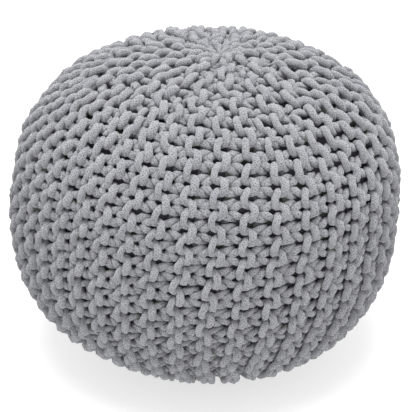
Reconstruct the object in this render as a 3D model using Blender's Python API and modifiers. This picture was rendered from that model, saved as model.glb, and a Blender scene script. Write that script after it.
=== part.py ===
"""Knitted pouf: a chunky garter-stitch cover, gathered to a small hole at each
end, fitted over a filled round casing that shows dark through the stitches.

Metres, +Z up. The origin is on the floor, under the middle of the widest
section. The front, as usually seen, faces -Y.
"""

import math

import bmesh
import bpy
import numpy as np

# ------------------------------------------------------------------ sizes
DIAMETER = 0.500        # widest, over the knit
HEIGHT = 0.411          # floor to the crown of the knit
WIDEST_AT = 0.190       # height of the widest section
FOOT_RADIUS = 0.080     # edge of the flat that rests on the floor
CROWN_POWER = 2.72      # roundness of the upper half, 2 is an ellipse
BELLY_POWER = 2.26      # roundness of the lower half
CORD = 0.009            # cotton cord that the cover is knitted from
KNIT = 2.5 * CORD       # depth of the knit, from the bars in front to the loops inside
HOLE_RADIUS = 0.006     # where the ends of the knit are drawn together
DIMPLE = 0.001          # how far the drawn-up crown sinks at the hole
DIMPLE_SPREAD = 0.030
GAP = 0.0003            # cover to casing
CENTRING = -0.0006      # brings the middle of the leaning form to the axis
AROUND = 60             # facets round the form
COVER_ROWS = 25         # points down the outside of the cover
LINING_ROWS = 20        # points down its inside, shared by the casing

# The filling has settled to one side. Each row gives, at that angle from the
# top as seen from the middle of the widest section, how far the section stands
# off the axis, to +X, how much wider it is across Y than across X, and how far
# it stands back, to +Y.
LEAN = (
    # angle from top, shift, wider, back
    (0, 0.0200, 0.000, 0.011),
    (12, 0.0150, 0.000, 0.009),
    (26, 0.0070, 0.000, 0.004),
    (42, 0.0050, -0.002, 0.000),
    (58, 0.0050, -0.003, 0.000),
    (74, 0.0040, -0.002, 0.000),
    (90, 0.0000, 0.000, 0.000),
    (112, 0.0005, 0.002, 0.000),
    (135, 0.0110, 0.006, 0.000),
    (155, 0.0270, 0.006, 0.000),
    (180, 0.0390, 0.006, 0.000),
)


def between(table, angle, column):
    """A column of the table at this angle, eased between rows."""
    for low, high in zip(table, table[1:]):
        if angle <= high[0]:
            t = max(0.0, (angle - low[0]) / (high[0] - low[0]))
            t = t * t * (3 - 2 * t)
            return low[column] * (1 - t) + high[column] * t
    return table[-1][column]


# --------------------------------------------------------------- profiles
def outline(inset):
    """The form's outline from the top of the axis to the bottom, as radius and
    height, moved inwards by inset. The foot stays flat."""
    radius = DIAMETER / 2
    turn = np.linspace(0.0, math.pi / 2, 400)
    crown = HEIGHT - WIDEST_AT
    belly = WIDEST_AT / (1 - (FOOT_RADIUS / radius) ** BELLY_POWER) ** (1 / BELLY_POWER)
    upper = np.stack(
        [
            radius * np.cos(turn[::-1]) ** (2 / CROWN_POWER),
            WIDEST_AT + crown * np.sin(turn[::-1]) ** (2 / CROWN_POWER),
        ],
        1,
    )
    lower = np.stack(
        [
            radius * np.cos(turn[1:]) ** (2 / BELLY_POWER),
            WIDEST_AT - belly * np.sin(turn[1:]) ** (2 / BELLY_POWER),
        ],
        1,
    )
    line = np.concatenate([upper, lower[lower[:, 1] > 0]])
    line[0, 0] = 0.0
    line[:, 1] -= DIMPLE * np.exp(-((line[:, 0] / DIMPLE_SPREAD) ** 2))
    line = np.concatenate([line, [[FOOT_RADIUS, 0.0]]])
    along = np.gradient(line, axis=0)
    along /= np.linalg.norm(along, axis=1, keepdims=True)
    # The outward normal is to the left of a line that runs down the +X side.
    line = line - inset * np.stack([-along[:, 1], along[:, 0]], 1)
    line = line[line[:, 1] >= inset]
    line[0, 0] = 0.0
    line = np.concatenate([line, [[line[-1, 0], inset]]])
    return line


def evenly(line, first, last, count):
    """count points along the line, from where its radius first passes first,
    to its end and then in to the radius last along the foot."""
    line = line[np.argmax(line[:, 0] >= first):].copy()
    line[0, 0] = first
    gone = np.concatenate([[0], np.cumsum(np.linalg.norm(np.diff(line, axis=0), axis=1))])
    want = np.linspace(0, gone[-1], count)
    found = np.stack([np.interp(want, gone, line[:, 0]), np.interp(want, gone, line[:, 1])], 1)
    return np.concatenate([found, [[last, line[-1, 1]]]])


def turned(name, points, closed, collection, material):
    """The profile turned round the axis, then leaned as the table says."""
    mesh = bpy.data.meshes.new(name)
    edges = [(i, i + 1) for i in range(len(points) - 1)]
    if closed:
        edges.append((len(points) - 1, 0))
    mesh.from_pydata([(r, 0.0, z) for r, z in points], edges, [])
    profile = bpy.data.objects.new(name + "_profile", mesh)
    collection.objects.link(profile)
    screw = profile.modifiers.new("turn", "SCREW")
    screw.angle = 2 * math.pi
    screw.steps = screw.render_steps = AROUND
    screw.use_merge_vertices = True
    screw.merge_threshold = 0.0001
    bpy.context.view_layer.update()
    graph = bpy.context.evaluated_depsgraph_get()
    made = bpy.data.meshes.new_from_object(profile.evaluated_get(graph))
    made.name = name
    bpy.data.objects.remove(profile)

    form = bmesh.new()
    form.from_mesh(made)
    bmesh.ops.remove_doubles(form, verts=form.verts, dist=0.00005)
    bmesh.ops.recalc_face_normals(form, faces=form.faces)
    for vert in form.verts:
        away = math.hypot(vert.co.x, vert.co.y)
        angle = math.degrees(math.atan2(away, vert.co.z - WIDEST_AT))
        vert.co.y = vert.co.y * (1 + between(LEAN, angle, 2)) + between(LEAN, angle, 3)
        vert.co.x += between(LEAN, angle, 1) + CENTRING
    form.to_mesh(made)
    form.free()
    if made.validate():
        made.update()
    made.shade_smooth()
    made.set_sharp_from_angle(angle=math.radians(50))
    made.materials.clear()
    made.materials.append(material)
    body = bpy.data.objects.new(name, made)
    collection.objects.link(body)
    return body


def finish(name, colour, roughness):
    material = bpy.data.materials.new(name)
    material.use_nodes = True
    shader = material.node_tree.nodes["Principled BSDF"]
    shader.inputs["Base Color"].default_value = (*colour, 1.0)
    shader.inputs["Roughness"].default_value = roughness
    shader.inputs["Metallic"].default_value = 0.0
    return material


def main():
    for item in list(bpy.data.objects):
        bpy.data.objects.remove(item)
    scene = bpy.context.scene
    scene.unit_settings.system = "METRIC"
    scene.unit_settings.scale_length = 1.0
    collection = bpy.data.collections.new("knitted_pouf")
    scene.collection.children.link(collection)

    heather = finish("heather_grey_cotton", (0.25, 0.25, 0.265), 0.9)
    dark = finish("dark_casing_cloth", (0.07, 0.07, 0.082), 0.95)

    # The cover: down the outside from the hole, in along the foot to the lower
    # hole, then back up the inside.
    outside = evenly(outline(0.0), HOLE_RADIUS, HOLE_RADIUS, COVER_ROWS)
    inside = evenly(outline(KNIT), HOLE_RADIUS, HOLE_RADIUS, LINING_ROWS)
    cover = turned(
        "knitted_cover",
        np.concatenate([outside, inside[::-1]]),
        True,
        collection,
        heather,
    )

    # The filled casing: the inside of the cover again, a gap smaller, closed on
    # the axis at both ends.
    core = evenly(outline(KNIT + GAP), HOLE_RADIUS, HOLE_RADIUS, LINING_ROWS)
    top, foot = outline(KNIT + GAP)[0, 1], core[-1, 1]
    core = np.concatenate([[[0.0, top]], core, [[0.0, foot]]])
    casing = turned("inner_casing", core, False, collection, dark)

    root = bpy.data.objects.new("pouf", None)
    collection.objects.link(root)
    for body in (cover, casing):
        body.parent = root


main()
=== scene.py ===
"""Looks of the knitted pouf: every loop of the garter-stitch cover as real cord,
over a filled dark casing, on a pale floor."""

import math

import bpy
import numpy as np
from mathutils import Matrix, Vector


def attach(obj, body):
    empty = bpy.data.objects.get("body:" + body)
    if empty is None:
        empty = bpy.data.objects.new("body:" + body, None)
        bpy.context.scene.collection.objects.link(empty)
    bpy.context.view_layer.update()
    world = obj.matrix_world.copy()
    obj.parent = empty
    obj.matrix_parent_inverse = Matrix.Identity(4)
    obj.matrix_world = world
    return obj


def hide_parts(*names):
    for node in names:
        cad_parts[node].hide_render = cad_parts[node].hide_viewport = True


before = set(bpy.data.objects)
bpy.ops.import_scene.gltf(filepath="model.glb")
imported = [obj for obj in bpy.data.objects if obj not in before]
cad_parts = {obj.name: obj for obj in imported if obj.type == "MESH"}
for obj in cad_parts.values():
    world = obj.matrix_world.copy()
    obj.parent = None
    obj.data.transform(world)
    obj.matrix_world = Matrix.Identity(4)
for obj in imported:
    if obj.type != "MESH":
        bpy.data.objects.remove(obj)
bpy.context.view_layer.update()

# ---------------------------------------------------------------- the form
# The form of the construction, in metres. The front faces -Y.
DIAMETER = 0.500
HEIGHT = 0.411
WIDEST_AT = 0.190
FOOT_RADIUS = 0.080
CROWN_POWER = 2.72
BELLY_POWER = 2.26
DIMPLE = 0.001
DIMPLE_SPREAD = 0.030
CENTRING = -0.0006
LEAN = np.array(
    [
        # angle from top, shift, wider, shift to the back
        (0, 0.0200, 0.000, 0.011),
        (12, 0.0150, 0.000, 0.009),
        (26, 0.0070, 0.000, 0.004),
        (42, 0.0050, -0.002, 0.000),
        (58, 0.0050, -0.003, 0.000),
        (74, 0.0040, -0.002, 0.000),
        (90, 0.0000, 0.000, 0.000),
        (112, 0.0005, 0.002, 0.000),
        (135, 0.0110, 0.006, 0.000),
        (155, 0.0270, 0.006, 0.000),
        (180, 0.0390, 0.006, 0.000),
    ]
)

# ---------------------------------------------------------------- the knit
RIDGES = 44             # round the widest section, in gores of four
GORES = RIDGES // 4
PITCH = 0.0264          # a stitch, on the belly
LOOSE = 0.0312          # a stitch, on the crown, where the knit is looser
DRAWN = 0.0240          # a stitch where the crown is drawn in to its hole
PHASE = 0.933           # of the stitches at the top
SPACING = 0.0344        # ridge to ridge, where the cell below is drawn
RISE = 0.0086           # bars of a ridge over the middle of the knit
MIDDLE = RISE + 0.0048  # depth of the middle of the knit
STAGGER = 0.0054        # the two rows of bars to either side of their ridge
SIDES = 10
SEED = 7


def eased(table, at, column):
    """A column of the table at these values, eased between rows."""
    at = np.clip(at, table[0, 0], table[-1, 0])
    row = np.clip(np.searchsorted(table[:, 0], at, side="right") - 1, 0, len(table) - 2)
    t = (at - table[row, 0]) / (table[row + 1, 0] - table[row, 0])
    t = t * t * (3 - 2 * t)
    return table[row, column] * (1 - t) + table[row + 1, column] * t


def outline(inset):
    """Radius and height from the top of the axis to the middle of the foot,
    inset from the outside of the knit, with the distance gone along it."""
    radius = DIAMETER / 2
    turn = np.linspace(0.0, math.pi / 2, 600)
    crown = HEIGHT - WIDEST_AT
    belly = WIDEST_AT / (1 - (FOOT_RADIUS / radius) ** BELLY_POWER) ** (1 / BELLY_POWER)
    upper = np.stack(
        [
            radius * np.cos(turn[::-1]) ** (2 / CROWN_POWER),
            WIDEST_AT + crown * np.sin(turn[::-1]) ** (2 / CROWN_POWER),
        ],
        1,
    )
    lower = np.stack(
        [
            radius * np.cos(turn[1:]) ** (2 / BELLY_POWER),
            WIDEST_AT - belly * np.sin(turn[1:]) ** (2 / BELLY_POWER),
        ],
        1,
    )
    line = np.concatenate([upper, lower[lower[:, 1] > 0]])
    line[0, 0] = 0.0
    line[:, 1] -= DIMPLE * np.exp(-((line[:, 0] / DIMPLE_SPREAD) ** 2))
    line = np.concatenate([line, [[FOOT_RADIUS, 0.0]]])
    along = np.gradient(line, axis=0)
    along /= np.linalg.norm(along, axis=1, keepdims=True)
    line = line - inset * np.stack([-along[:, 1], along[:, 0]], 1)
    line = line[line[:, 1] >= inset]
    line[0, 0] = 0.0
    edge = line[-1, 0]
    foot = np.stack([np.linspace(edge, 0, 60), np.full(60, inset)], 1)
    line = np.concatenate([line, foot])
    gone = np.concatenate([[0], np.cumsum(np.linalg.norm(np.diff(line, axis=0), axis=1))])
    even = np.linspace(0, gone[-1], 1600)
    line = np.stack([np.interp(even, gone, line[:, 0]), np.interp(even, gone, line[:, 1])], 1)
    # soften the turn into the foot
    kernel = np.hanning(31)
    kernel /= kernel.sum()
    padded = np.pad(line, ((15, 15), (0, 0)), "reflect", reflect_type="odd")
    line = np.stack([np.convolve(padded[:, i], kernel, "valid") for i in (0, 1)], 1)
    line[0, 0] = line[-1, 0] = 0.0
    gone = np.concatenate([[0], np.cumsum(np.linalg.norm(np.diff(line, axis=0), axis=1))])
    along = np.gradient(line, axis=0)
    along /= np.linalg.norm(along, axis=1, keepdims=True)
    return line, np.stack([-along[:, 1], along[:, 0]], 1), gone


LINE, OUT, GONE = outline(MIDDLE)
LENGTH = GONE[-1]


def place(gone, around, depth, line=LINE, out=OUT, along=GONE):
    """Points in space, and their outward normals, from the distance down the
    form, the angle round it from the front, and the height over its middle."""
    gone = np.clip(gone, 0, along[-1])
    r = np.interp(gone, along, line[:, 0])
    z = np.interp(gone, along, line[:, 1])
    nr = np.interp(gone, along, out[:, 0])
    nz = np.interp(gone, along, out[:, 1])
    r, z = r + depth * nr, z + depth * nz
    angle = np.degrees(np.arctan2(np.abs(r), z - WIDEST_AT))
    x = r * np.sin(around) + eased(LEAN, angle, 1) + CENTRING
    y = -r * np.cos(around) * (1 + eased(LEAN, angle, 2)) + eased(LEAN, angle, 3)
    normal = np.stack([nr * np.sin(around), -nr * np.cos(around), nz], -1)
    return np.stack([x, y, z], -1), normal


def ramp(x):
    x = np.clip(x, 0, 1)
    return x * x * (3 - 2 * x)


# Stitches are longer on the crown. COUNT is the stitch number at each distance
# gone, and needn't be whole at the holes.
def stitch_count():
    share = np.clip((GONE - 0.17) / 0.13, 0, 1)
    share = share * share * (3 - 2 * share)
    pitch = LOOSE * (1 - share) + PITCH * share
    pitch += (DRAWN - LOOSE) * (1 - ramp((GONE - 0.035) / 0.03))
    count = np.concatenate([[0], np.cumsum(np.diff(GONE) / ((pitch[1:] + pitch[:-1]) / 2))])
    return count + PHASE


COUNT = stitch_count()
TOP, BOTTOM = COUNT[0], COUNT[-1]


def down(stitch):
    return np.interp(stitch, COUNT, GONE)


# Short rows: of the four ridges of a gore one runs the whole way, one stops just
# short of the holes and two well short of them, so that the knit stays as wide
# as it is deep. SHORT is the stitch at which those two start, gore by gore.
rng = np.random.default_rng(SEED)
SHORT = (
    (6, 7), (7, 6), (6, 7), (7, 7), (6, 7), (7, 6), (6, 6), (7, 6), (6, 7), (7, 6), (7, 6),
)
WHOLE = 1       # which ridge of a gore runs the whole way


def ridge_ends():
    ends = np.zeros((RIDGES, 2))
    for k in range(RIDGES):
        ends[k] = (SHORT[k // 4][0], 2, SHORT[k // 4][1], 4)[k % 4]
    ends[:, 1] = math.floor(BOTTOM + TOP) - ends[:, 1] + (ends[:, 0] == 2)
    return ends.astype(int)


ENDS = ridge_ends()
GRID = np.linspace(TOP, BOTTOM, 541)


def ridge_widths():
    """Each ridge's share of the way round at each stitch, and its middle."""
    wide = np.zeros((RIDGES, len(GRID)))
    for k in range(RIDGES):
        first, last = ENDS[k]
        if k % 4 == WHOLE:
            wide[k] = 1
            continue
        start = 0.42 + 0.58 * ramp((GRID - first + 0.4) / 2.2)
        start *= ramp((GRID - first + 1.5) / 0.9)
        end = 0.42 + 0.58 * ramp((last - GRID + 0.4) / 2.2)
        end *= ramp((last - GRID + 1.5) / 0.9)
        wide[k] = start * end
    # every gore keeps its share of the way round
    for k in range(0, RIDGES, 4):
        wide[k : k + 4] /= wide[k : k + 4].sum(0) * GORES
    return wide, np.cumsum(wide, 0) - wide / 2


WIDE, MIDDLES = ridge_widths()


# Ridges sit closer on one side of the pouf than on the other, and twist a
# little on their way down. In degrees: a turn of the whole, then two waves.
WARP = (-2.90, -1.05, 1.90, -2.96, -0.58)
TWIST = (-0.39, -1.26, -1.64)
# The same for the courses, in metres, at mid height.
HILL = (0.0056, -0.0119, 0.0230, 0.0005, -0.0005)


def warp(turn, gone):
    """The angle round the pouf, from the front."""
    turn = turn + math.pi / RIDGES
    one, two = np.exp(1j * turn), np.exp(2j * turn)
    low = np.clip((gone - 0.35) / 0.1, -2.0, 1.4)
    still = WARP[0] + WARP[1] * one.real + WARP[2] * one.imag
    still = still + WARP[3] * two.real + WARP[4] * two.imag
    moved = TWIST[0] + TWIST[1] * one.real + TWIST[2] * one.imag
    return turn + np.radians(still + low * moved)


# Slow drift of the stitches, the same for every strand that passes a place.
DRIFT = [
    (
        rng.integers(1, 16, 14) * rng.choice([-1, 1], 14),
        rng.uniform(0.5, 3.2, 14),
        rng.uniform(0, 2 * math.pi, 14),
        rng.uniform(0.4, 1.0, 14),
    )
    for _ in range(3)
]


def drift(which, turn, stitch):
    around, downwards, phase, size = DRIFT[which]
    waves = np.sin(
        turn[..., None] * around + stitch[..., None] * downwards + phase
    )
    return (waves * size).sum(-1) / np.sqrt((size**2).sum() / 2)


def on_knit(k, stitch, share, aside, depth):
    """Points and normals for ridge k: stitch counts down the ridge, share is
    the way to the next ridge, aside a distance across, depth the height."""
    wide = np.interp(stitch, GRID, WIDE[k])
    middle = np.interp(stitch, GRID, MIDDLES[k])
    gone = down(np.clip(stitch, TOP, BOTTOM))
    radius = np.maximum(np.interp(gone, GONE, LINE[:, 0]), 0.004)
    space = np.maximum(2 * math.pi * wide * radius, 0.004)
    tight = np.minimum(1, space / SPACING) ** 0.6
    turn = 2 * math.pi * (middle + share * wide)
    turn = turn + aside * tight / radius
    s = stitch + 0.045 * drift(0, turn, stitch)
    turn = turn + 0.0009 * drift(1, turn, stitch) / radius
    high = depth + 0.0005 * drift(2, turn, stitch)
    gone = down(np.clip(s, TOP, BOTTOM))
    around = warp(turn, gone)
    # The courses run a little downhill to the right of the front.
    one, two = np.exp(1j * around), np.exp(2j * around)
    hill = HILL[0] + HILL[1] * one.real + HILL[2] * one.imag
    hill = hill + HILL[3] * two.real + HILL[4] * two.imag
    gone = gone + hill * np.sin(np.pi * np.clip(gone / LENGTH, 0, 1)) ** 1.2
    return place(gone, around, high)


# ------------------------------------------------------------- the cord path
# Half a stitch of either row of a ridge, from the middle of a loose bar, between
# stitches, to the middle of a loop head. The left-hand row has its bars in front
# and its heads inside, in the valley to the right. The right-hand row has its
# heads in front and its bars inside, in the valley to the left. Where the legs of
# two ridges meet in a valley, each lies over the other beside its own ridge.
NEAR, FAR = 0, 1
LEFT = (
    # measured from, down, share, aside, depth, wide, thick
    (NEAR, 0.0000, 0.00, -STAGGER, RISE, 0.0080, 0.0091),
    (NEAR, 0.0042, 0.00, -STAGGER + 0.0006, RISE - 0.0008, 0.0082, 0.0091),
    (NEAR, 0.0072, 0.00, -STAGGER + 0.0022, RISE - 0.0030, 0.0084, 0.0088),
    (FAR, -0.0050, 0.00, -0.0013, RISE - 0.0058, 0.0084, 0.0082),
    (FAR, -0.0044, 0.00, 0.0012, -0.0008, 0.0080, 0.0078),
    (FAR, -0.0044, 0.00, 0.0036, -0.0028, 0.0076, 0.0072),
    (FAR, -0.0052, 0.17, 0.0, -0.0006, 0.0091, 0.0070),
    (FAR, -0.0064, 0.26, 0.0, 0.0017, 0.0097, 0.0070),
    (FAR, -0.0082, 0.37, 0.0, 0.0009, 0.0090, 0.0066),
    (FAR, -0.0095, 0.48, 0.0, -0.0022, 0.0074, 0.0068),
    (FAR, -0.0095, 0.50, 0.0030, -0.0046, 0.0074, 0.0076),
    (FAR, -0.0066, 0.50, 0.0027, -0.0062, 0.0080, 0.0076),
    (FAR, 0.0000, 0.50, 0.0029, -0.0068, 0.0078, 0.0076),
)
RIGHT = (
    (NEAR, 0.0000, -0.50, -0.0058, -0.0068, 0.0078, 0.0076),
    (NEAR, 0.0042, -0.50, -0.0054, -0.0064, 0.0080, 0.0076),
    (NEAR, 0.0075, -0.50, -0.0040, -0.0050, 0.0084, 0.0076),
    (FAR, -0.0038, -0.50, -0.0018, -0.0028, 0.0074, 0.0074),
    (FAR, -0.0029, -0.50, 0.0010, -0.0006, 0.0077, 0.0070),
    (FAR, -0.0036, -0.50, 0.0036, 0.0012, 0.0086, 0.0066),
    (FAR, -0.0052, -0.33, 0.0, 0.0014, 0.0097, 0.0068),
    (FAR, -0.0068, -0.24, 0.0, -0.0004, 0.0091, 0.0070),
    (FAR, -0.0077, -0.13, 0.0, -0.0028, 0.0080, 0.0070),
    (FAR, -0.0073, -0.02, 0.0, -0.0002, 0.0084, 0.0073),
    (FAR, -0.0068, 0.00, STAGGER * 0.62, RISE - 0.0046, 0.0088, 0.0086),
    (FAR, -0.0046, 0.00, STAGGER * 1.00, RISE - 0.0012, 0.0096, 0.0096),
    (FAR, 0.0000, 0.00, STAGGER * 1.12, RISE, 0.0092, 0.0098),
)
HANG = 0.0013           # the heads in front hang a little lower than their legs


def stitch_rows(half, first, last):
    """Control rows for one row of stitches, from first to last: stitch, share,
    aside, depth, wide, thick and the points from each to the next."""
    table = []
    for j in range(first, last + 1):
        near = [
            (j + (-0.5 if at == NEAR else 0.0) + d / PITCH, *others)
            for at, d, *others in half
        ]
        far = [(2 * j - row[0], *row[1:]) for row in near[-2::-1]]
        period = near + far
        if j < last:
            period = period[:-1]
        table += period
    rows = np.array(table)
    # The ends of a row have no bar beyond them.
    rows = rows[2:-2]
    # of the two legs of a loop the lower stands out a little more
    leg = np.abs(np.abs(rows[:, 1]) - 0.28) < 0.15
    rows[leg, 3] += 0.0005 * np.sign(rows[leg, 0] - np.round(rows[leg, 0]))
    # and the knit is more open on the underside of the belly
    rows[leg, 4] *= 0.900 - 0.150 * ramp((down(rows[leg, 0]) - 0.32) / 0.11)
    if half is RIGHT:
        rows[rows[:, 3] > 0.0030, 0] += HANG / PITCH
    return np.column_stack([rows, np.ones(len(rows))])


def ring(k):
    """One ridge: down its left-hand row and up its right-hand row."""
    first, last = ENDS[k]
    front = stitch_rows(LEFT, first, last)
    back = stitch_rows(RIGHT, first, last)[::-1].copy()

    def turned(end, sign):
        """The cord turning from one row into the next at an end of the ridge."""
        if k % 4 != WHOLE:
            return np.array(
                [
                    (end - sign * 0.66, -0.08, -0.0010, 0.0035, 0.0084, 0.0077, 2),
                    (end - sign * 0.70, -0.32, 0.0, -0.0020, 0.0084, 0.0077, 2),
                ]
            )
        # drawn in to the hole, where all of them meet, and back underneath
        stop = GONE[0] if sign > 0 else LENGTH
        way = ((0.0165, 0.02, 0.0044, 0.0072, 0.0084),
               (0.0105, 0.02, 0.0036, 0.0060, 0.0080), (0.0058, 0.02, 0.0018, 0.0046, 0.0076),
               (0.0030, 0.00, -0.0022, 0.0044, 0.0060), (0.0050, -0.02, -0.0056, 0.0050, 0.0060),
               (0.0110, -0.20, -0.0066, 0.0064, 0.0064))
        return np.array(
            [
                (np.interp(stop + sign * far, GONE, COUNT), share, 0.0, depth, w, t, 2)
                for far, share, depth, w, t in way
            ]
        )

    low = turned(last, -1)
    high = turned(first, 1)[::-1]
    front[-1, 6] = back[-1, 6] = 2
    rows = np.concatenate([front, low, back, high])
    # small accidents of single loops
    n = len(rows)
    rows[:, 0] += rng.normal(0, 0.014, n)
    rows[:, 2] += rng.normal(0, 0.00035, n)
    rows[:, 3] += rng.normal(0, 0.00025, n)
    radius = np.interp(down(rows[:, 0]), GONE, LINE[:, 0])
    space = 2 * math.pi * radius * np.interp(rows[:, 0], GRID, WIDE[k])
    rows[:, 4] *= np.clip(space / 0.021, 0.84, 1)
    # looser stitches let the cord fill out, its legs only near the hole
    far = np.where(np.abs(np.abs(rows[:, 1]) - 0.28) < 0.15, 0.09, 0.19)
    rows[:, 4] *= 1.09 - 0.09 * ramp((down(rows[:, 0]) - far) / 0.13)
    rows[:, 4] *= 1 + rng.normal(0, 0.035, n)
    rows[:, 5] *= 1 + rng.normal(0, 0.025, n)
    # the bars in front slant a little
    in_front = rows[:, 3] > RISE * 0.4
    nearest = np.where(
        rows[:, 2] < 0, np.round(rows[:, 0] - 0.5) + 0.5, np.round(rows[:, 0])
    )
    slant = np.where(rows[:, 2] < 0, 0.18, 0.01) + rng.normal(0, 0.05, n)
    rows[in_front, 2] -= (slant * (rows[:, 0] - nearest) * PITCH)[in_front]
    points, normals = on_knit(k, rows[:, 0], rows[:, 1], rows[:, 2], rows[:, 3])
    data = np.concatenate([points, normals, rows[:, 3:6]], 1)
    return smooth(data, rows[:, 6].astype(int))


def smooth(data, steps):
    """A closed curve through the rows, by centripetal Catmull-Rom, with this
    many points from each row to the next."""
    p = data[:, :3]
    gap = np.maximum(np.linalg.norm(np.roll(p, -1, 0) - p, axis=1), 1e-5) ** 0.5
    p0, p1, p2, p3 = (np.roll(data, s, 0) for s in (1, 0, -1, -2))
    t0 = np.zeros(len(p))
    t1 = np.roll(gap, 1)
    t2 = t1 + gap
    t3 = t2 + np.roll(gap, -1)
    out = []
    order = []
    for part in range(int(steps.max())):
        keep = np.nonzero(steps > part)[0]
        t = t1[keep] + gap[keep] * part / steps[keep]
        c = [x[keep][:, None] for x in (t0, t1, t2, t3)]
        q = [x[keep] for x in (p0, p1, p2, p3)]
        t = t[:, None]
        a1 = (c[1] - t) / (c[1] - c[0]) * q[0] + (t - c[0]) / (c[1] - c[0]) * q[1]
        a2 = (c[2] - t) / (c[2] - c[1]) * q[1] + (t - c[1]) / (c[2] - c[1]) * q[2]
        a3 = (c[3] - t) / (c[3] - c[2]) * q[2] + (t - c[2]) / (c[3] - c[2]) * q[3]
        b1 = (c[2] - t) / (c[2] - c[0]) * a1 + (t - c[0]) / (c[2] - c[0]) * a2
        b2 = (c[3] - t) / (c[3] - c[1]) * a2 + (t - c[1]) / (c[3] - c[1]) * a3
        out.append((c[2] - t) / (c[2] - c[1]) * b1 + (t - c[1]) / (c[2] - c[1]) * b2)
        order.append(keep + part / 10)
    out = np.concatenate(out)
    return out[np.argsort(np.concatenate(order), kind="stable")]


def tube(data):
    """Rings of vertices round a closed path, each vertex's height over the middle
    of the knit, and the distance gone along the path."""
    p, n, high, wide, thick = data[:, :3], data[:, 3:6], data[:, 6], data[:, 7], data[:, 8]
    tangent = np.roll(p, -1, 0) - np.roll(p, 1, 0)
    tangent /= np.linalg.norm(tangent, axis=1, keepdims=True)
    up = n - (n * tangent).sum(1, keepdims=True) * tangent
    size = np.linalg.norm(up, axis=1)
    up = up / np.maximum(size, 1e-9)[:, None]
    # where the cord stands on end the normal says nothing: carry the frame on
    for i in range(1, len(p)):
        if size[i] < 0.35:
            carried = up[i - 1] - (up[i - 1] @ tangent[i]) * tangent[i]
            up[i] = carried / np.linalg.norm(carried)
        elif up[i] @ up[i - 1] < 0:
            up[i] = -up[i]
    side = np.cross(tangent, up)
    # pressed cord: rounder than a box, fuller than an ellipse, more so where it
    # is pressed flat
    turn = np.arange(SIDES) / SIDES * 2 * math.pi
    full = np.interp(thick / wide, (0.76, 1.06), (0.72, 0.86))[:, None]
    across, over = (np.sign(f) * np.abs(f) ** full for f in (np.cos(turn), np.sin(turn)))
    # and a little lumpy with its stuffing
    lumps = 1 + rng.normal(0, 0.05, (len(p), SIDES))
    across, over = across * lumps, over * lumps
    v = (
        p[:, None]
        + (wide / 2)[:, None, None] * across[:, :, None] * side[:, None]
        + (thick / 2)[:, None, None] * over[:, :, None] * up[:, None]
    )
    high = high[:, None] + ((v - p[:, None]) * n[:, None]).sum(-1)
    gone = np.concatenate([[0], np.cumsum(np.linalg.norm(np.diff(p, axis=0), axis=1))])
    whole = gone[-1] + np.linalg.norm(p[0] - p[-1])
    return v, high, gone, whole


def knit_piece(name, ridges, material):
    """Several ridges of the cover as one mesh."""
    verts, quads, maps, highs = [], [], [], []
    base = 0
    length = 0.0
    for k in ridges:
        v, high, gone, whole = tube(ring(k))
        n = len(v)
        # the cord flattens where it lies on the floor
        v[..., 2] = np.maximum(v[..., 2], 0.0002)
        i = np.arange(n)[:, None]
        j = np.arange(SIDES)[None]
        i2, j2 = (i + 1) % n, (j + 1) % SIDES
        quads.append(
            np.stack(
                [i * SIDES + j, i * SIDES + j2, i2 * SIDES + j2, i2 * SIDES + j], -1
            ).reshape(-1, 4)
            + base
        )
        u1 = np.broadcast_to(gone[:, None], (n, SIDES))
        u2 = np.broadcast_to(np.append(gone[1:], whole)[:, None], (n, SIDES))
        v1 = np.broadcast_to(j / SIDES, (n, SIDES))
        v2 = v1 + 1 / SIDES
        maps.append(
            np.stack(
                [
                    np.stack([u1, v1], -1),
                    np.stack([u1, v2], -1),
                    np.stack([u2, v2], -1),
                    np.stack([u2, v1], -1),
                ],
                2,
            ).reshape(-1, 2)
            + [length + 0.37 * k, 0]
        )
        verts.append(v.reshape(-1, 3))
        highs.append(high.ravel())
        base += n * SIDES
        length += whole
    verts = np.concatenate(verts)
    quads = np.concatenate(quads)
    maps = np.concatenate(maps)
    mesh = bpy.data.meshes.new(name)
    mesh.vertices.add(len(verts))
    mesh.vertices.foreach_set("co", verts.astype(np.float32).ravel())
    mesh.loops.add(quads.size)
    mesh.loops.foreach_set("vertex_index", quads.astype(np.int32).ravel())
    mesh.polygons.add(len(quads))
    mesh.polygons.foreach_set("loop_start", np.arange(0, quads.size, 4, dtype=np.int32))
    mesh.update(calc_edges=True)
    layer = mesh.uv_layers.new(name="cord")
    layer.data.foreach_set("uv", maps.astype(np.float32).ravel())
    # Painted shade in the knit, for the material: 0 deep in the knit, 1 from its middle outwards.
    # The shade is painted further out low down, where less light reaches, and only deeper in on the
    # crown, under the top light.
    deep = 0.0047 - 0.0030 * np.clip((0.20 - verts[:, 2]) / 0.14, 0, 1)
    deep = deep + 0.0022 * np.clip((verts[:, 2] - 0.34) / 0.05, 0, 1)
    painted_shade_open = np.clip((np.concatenate(highs) + deep) / 0.0065, 0, 1)
    layer = mesh.attributes.new("open", "FLOAT", "POINT")
    layer.data.foreach_set("value", painted_shade_open.astype(np.float32))
    mesh.shade_smooth()
    mesh.materials.append(material)
    piece = bpy.data.objects.new(name, mesh)
    bpy.context.scene.collection.objects.link(piece)
    return piece, length


# ---------------------------------------------------------------- materials
def node(tree, kind, **settings):
    made = tree.nodes.new(kind)
    for key, value in settings.items():
        if key in made.inputs.keys():
            made.inputs[key].default_value = value
        else:
            setattr(made, key, value)
    return made


def math_node(tree, operation, a, b=None):
    made = tree.nodes.new("ShaderNodeMath")
    made.operation = operation
    for i, value in enumerate((a, b)):
        if value is None:
            continue
        if isinstance(value, (int, float)):
            made.inputs[i].default_value = value
        else:
            tree.links.new(value, made.inputs[i])
    return made.outputs[0]


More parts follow.
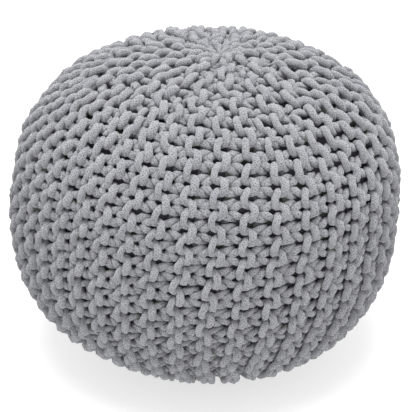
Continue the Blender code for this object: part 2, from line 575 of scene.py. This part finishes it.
def ramp_node(tree, source, stops):
    made = tree.nodes.new("ShaderNodeValToRGB")
    tree.links.new(source, made.inputs[0])
    colours = made.color_ramp.elements
    while len(colours) < len(stops):
        colours.new(0.5)
    for element, (at, colour) in zip(colours, stops):
        element.position = at
        element.color = (*colour, 1)
    return made.outputs[0]


def noise(tree, vector, scale, detail=2.0, rough=0.5):
    made = tree.nodes.new("ShaderNodeTexNoise")
    made.inputs["Scale"].default_value = scale
    made.inputs["Detail"].default_value = detail
    made.inputs["Roughness"].default_value = rough
    tree.links.new(vector, made.inputs["Vector"])
    return made.outputs[0]


def cord_material():
    """Heathered grey cotton: a fine knitted tube, speckled, a little hairy."""
    material = bpy.data.materials.new("knit_cord")
    material.use_nodes = True
    tree = material.node_tree
    shader = tree.nodes["Principled BSDF"]
    shader.inputs["Roughness"].default_value = 0.92
    shader.inputs["Diffuse Roughness"].default_value = 1.0
    shader.inputs["Specular IOR Level"].default_value = 0.12
    shader.inputs["Sheen Weight"].default_value = 0.10
    shader.inputs["Sheen Roughness"].default_value = 0.6
    place_at = tree.nodes.new("ShaderNodeTexCoord").outputs["Object"]
    uv = tree.nodes.new("ShaderNodeUVMap")
    uv.uv_map = "cord"
    split = tree.nodes.new("ShaderNodeSeparateXYZ")
    tree.links.new(uv.outputs[0], split.inputs[0])
    along, round_it = split.outputs[0], split.outputs[1]

    # fine knitted loops of the cord's own skin, as two crossing helices
    turns = math_node(tree, "MULTIPLY", along, 2 * math.pi / 0.0027)
    lean = math_node(tree, "MULTIPLY", round_it, 2 * math.pi * 6)
    one = math_node(tree, "SINE", math_node(tree, "ADD", turns, lean))
    two = math_node(tree, "SINE", math_node(tree, "SUBTRACT", turns, lean))
    skin = math_node(tree, "MAXIMUM", one, two)

    speck = noise(tree, place_at, 560, 2.0, 0.6)
    fleck = noise(tree, place_at, 420, 3.0, 0.7)
    broad = noise(tree, place_at, 26, 3.0, 0.55)
    ground = ramp_node(
        tree,
        fleck,
        [(0.30, (0.205, 0.206, 0.219)), (0.47, (0.288, 0.290, 0.308)), (0.72, (0.322, 0.324, 0.344))],
    )
    dots = ramp_node(
        tree, speck, [(0.36, (0.60, 0.60, 0.60)), (0.46, (1.0, 1.0, 1.0))]
    )
    mix = tree.nodes.new("ShaderNodeMix")
    mix.data_type = "RGBA"
    mix.blend_type = "MULTIPLY"
    mix.inputs[0].default_value = 1.0
    tree.links.new(ground, mix.inputs[6])
    tree.links.new(dots, mix.inputs[7])
    tint = ramp_node(
        tree,
        broad,
        [(0.35, (0.93, 0.93, 0.95)), (0.65, (1.03, 1.03, 1.02))],
    )
    mix2 = tree.nodes.new("ShaderNodeMix")
    mix2.data_type = "RGBA"
    mix2.blend_type = "MULTIPLY"
    mix2.inputs[0].default_value = 1.0
    tree.links.new(mix.outputs[2], mix2.inputs[6])
    tree.links.new(tint, mix2.inputs[7])
    # painted shade in the grooves between the loops of the cord's skin
    painted_groove_shade = ramp_node(
        tree,
        math_node(tree, "MULTIPLY_ADD", skin, 0.5),
        [(0.0, (0.34, 0.34, 0.34)), (0.42, (0.95, 0.95, 0.95)), (0.7, (1.0, 1.0, 1.0))],
    )
    mix3 = tree.nodes.new("ShaderNodeMix")
    mix3.data_type = "RGBA"
    mix3.blend_type = "MULTIPLY"
    mix3.inputs[0].default_value = 1.0
    tree.links.new(mix2.outputs[2], mix3.inputs[6])
    tree.links.new(painted_groove_shade, mix3.inputs[7])
    # painted shade: the cord is darkened deep in the knit, which little light reaches
    layer = tree.nodes.new("ShaderNodeAttribute")
    layer.attribute_name = "open"
    painted_shade_ramp = ramp_node(
        tree,
        layer.outputs["Fac"],
        [(0.0, (0.32, 0.32, 0.32)), (1.0, (1.0, 1.0, 1.0))],
    )
    mix4 = tree.nodes.new("ShaderNodeMix")
    mix4.data_type = "RGBA"
    mix4.blend_type = "MULTIPLY"
    mix4.inputs[0].default_value = 1.0
    tree.links.new(mix3.outputs[2], mix4.inputs[6])
    tree.links.new(painted_shade_ramp, mix4.inputs[7])
    tree.links.new(mix4.outputs[2], shader.inputs["Base Color"])

    height = math_node(
        tree,
        "ADD",
        math_node(tree, "MULTIPLY", skin, 0.80),
        math_node(tree, "MULTIPLY", fleck, 1.3),
    )
    bump = tree.nodes.new("ShaderNodeBump")
    bump.inputs["Strength"].default_value = 0.70
    bump.inputs["Distance"].default_value = 0.0007
    tree.links.new(height, bump.inputs["Height"])
    tree.links.new(bump.outputs[0], shader.inputs["Normal"])
    return material


def casing_material():
    """Dark plain-weave cloth."""
    material = bpy.data.materials.new("casing_cloth")
    material.use_nodes = True
    tree = material.node_tree
    shader = tree.nodes["Principled BSDF"]
    shader.inputs["Roughness"].default_value = 0.95
    shader.inputs["Specular IOR Level"].default_value = 0.1
    place_at = tree.nodes.new("ShaderNodeTexCoord").outputs["Object"]
    cloudy = noise(tree, place_at, 60, 4.0, 0.6)
    colour = ramp_node(
        tree,
        cloudy,
        [(0.3, (0.052, 0.052, 0.061)), (0.7, (0.088, 0.087, 0.101))],
    )
    tree.links.new(colour, shader.inputs["Base Color"])
    weave = noise(tree, place_at, 1600, 1.0, 0.4)
    bump = tree.nodes.new("ShaderNodeBump")
    bump.inputs["Strength"].default_value = 0.4
    bump.inputs["Distance"].default_value = 0.0004
    tree.links.new(weave, bump.inputs["Height"])
    tree.links.new(bump.outputs[0], shader.inputs["Normal"])
    return material


def plain_material(name, colour, roughness):
    material = bpy.data.materials.new(name)
    material.use_nodes = True
    shader = material.node_tree.nodes["Principled BSDF"]
    shader.inputs["Base Color"].default_value = (*colour, 1)
    shader.inputs["Roughness"].default_value = roughness
    shader.inputs["Specular IOR Level"].default_value = 0.1
    return material


# ------------------------------------------------------------------ pieces
cord = cord_material()
GROUPS = 6
bounds_of = np.linspace(0, RIDGES, GROUPS + 1).round().astype(int)
total = 0.0
cover = []
for g in range(GROUPS):
    piece, length = knit_piece(
        f"knit_{g + 1}", range(bounds_of[g], bounds_of[g + 1]), cord
    )
    total += length
    cover.append(piece)
    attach(piece, "root")
    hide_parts("knitted_cover")
print(f"cord in the cover: {total:.1f} m")


def casing():
    """The filled casing, pressed out a little between the rows of the knit."""
    line, out, gone = outline(0.0224)
    rows, columns = 110, 220
    far = np.linspace(0.002, gone[-1] - 0.002, rows)
    turn = np.arange(columns) / columns * 2 * math.pi
    ff, tt = np.meshgrid(far, turn, indexing="ij")
    swell = (
        0.0007 * np.sin(tt * 44) * np.sin(ff / PITCH * 2 * math.pi)
        + 0.0006 * np.sin(tt * 7 + 1.3) * np.sin(ff * 31 + 0.4)
    )
    v, _ = place(ff, tt, swell - 0.0004, line, out, gone)
    v = v.reshape(-1, 3)
    top, _ = place(np.array([0.0]), np.array([0.0]), np.array([-0.0006]), line, out, gone)
    foot, _ = place(gone[-1:], np.array([0.0]), np.array([-0.0006]), line, out, gone)
    v = np.concatenate([v, top, foot])
    i = np.arange(rows - 1)[:, None]
    j = np.arange(columns)[None]
    j2 = (j + 1) % columns
    quads = np.stack(
        [i * columns + j, (i + 1) * columns + j, (i + 1) * columns + j2, i * columns + j2],
        -1,
    ).reshape(-1, 4)
    j = np.arange(columns)
    j2 = (j + 1) % columns
    last = (rows - 1) * columns
    caps = [(rows * columns, int(a), int(b)) for a, b in zip(j, j2)]
    caps += [(rows * columns + 1, int(b) + last, int(a) + last) for a, b in zip(j, j2)]
    mesh = bpy.data.meshes.new("casing")
    mesh.from_pydata(v.tolist(), [], quads.tolist() + caps)
    mesh.validate()
    mesh.shade_smooth()
    mesh.materials.append(casing_material())
    piece = bpy.data.objects.new("casing", mesh)
    bpy.context.scene.collection.objects.link(piece)
    return piece


inside = casing()
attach(inside, "root")
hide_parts("inner_casing")

# ------------------------------------------------------- floor, light, camera
mesh = bpy.data.meshes.new("floor")
half = 6.0
mesh.from_pydata(
    [(-half, -half, 0), (half, -half, 0), (half, half, 0), (-half, half, 0)],
    [],
    [(0, 1, 2, 3)],
)
floor = bpy.data.objects.new("floor", mesh)
paper = plain_material("floor", (0.42, 0.42, 0.42), 0.9)
# painted light: the floor glows, which lifts its shadow towards white and lights the underside of the
# pouf
painted_floor_glow = paper.node_tree.nodes["Principled BSDF"]
painted_floor_glow.inputs["Emission Color"].default_value = (1, 1, 1, 1)
painted_floor_glow.inputs["Emission Strength"].default_value = 0.62
mesh.materials.append(paper)
bpy.context.scene.collection.objects.link(floor)

scene = bpy.context.scene
world = bpy.data.worlds.new("studio")
scene.world = world
world.use_nodes = True
sky = world.node_tree.nodes["Background"]
sky.inputs[0].default_value = (1, 1, 1, 1)
sky.inputs[1].default_value = 0.97


def soft_light(name, at, towards, size, power):
    data = bpy.data.lights.new(name, "AREA")
    data.shape = "DISK"
    data.size = size
    data.energy = power
    lamp = bpy.data.objects.new(name, data)
    lamp.location = at
    lamp.rotation_euler = (Vector(towards) - Vector(at)).to_track_quat("-Z", "Y").to_euler()
    scene.collection.objects.link(lamp)


soft_light("top", (-0.1, -0.4, 2.6), (0, 0, 0.2), 1.8, 89)
soft_light("front", (0.3, -2.6, 0.8), (0, 0, 0.2), 1.4, 22)

camera = bpy.data.cameras.new("camera")
camera.sensor_width = 36
camera.lens = 36 * 1551 / 412
seen_from = math.radians(26.3)
away = 2.0
aim = Vector((0.0025, 0.0, 0.197))
view = bpy.data.objects.new("camera", camera)
view.location = aim + away * Vector((0, -math.cos(seen_from), math.sin(seen_from)))
view.rotation_euler = (math.pi / 2 - seen_from, 0, 0)
scene.collection.objects.link(view)
scene.camera = view
scene.view_settings.view_transform = "Standard"
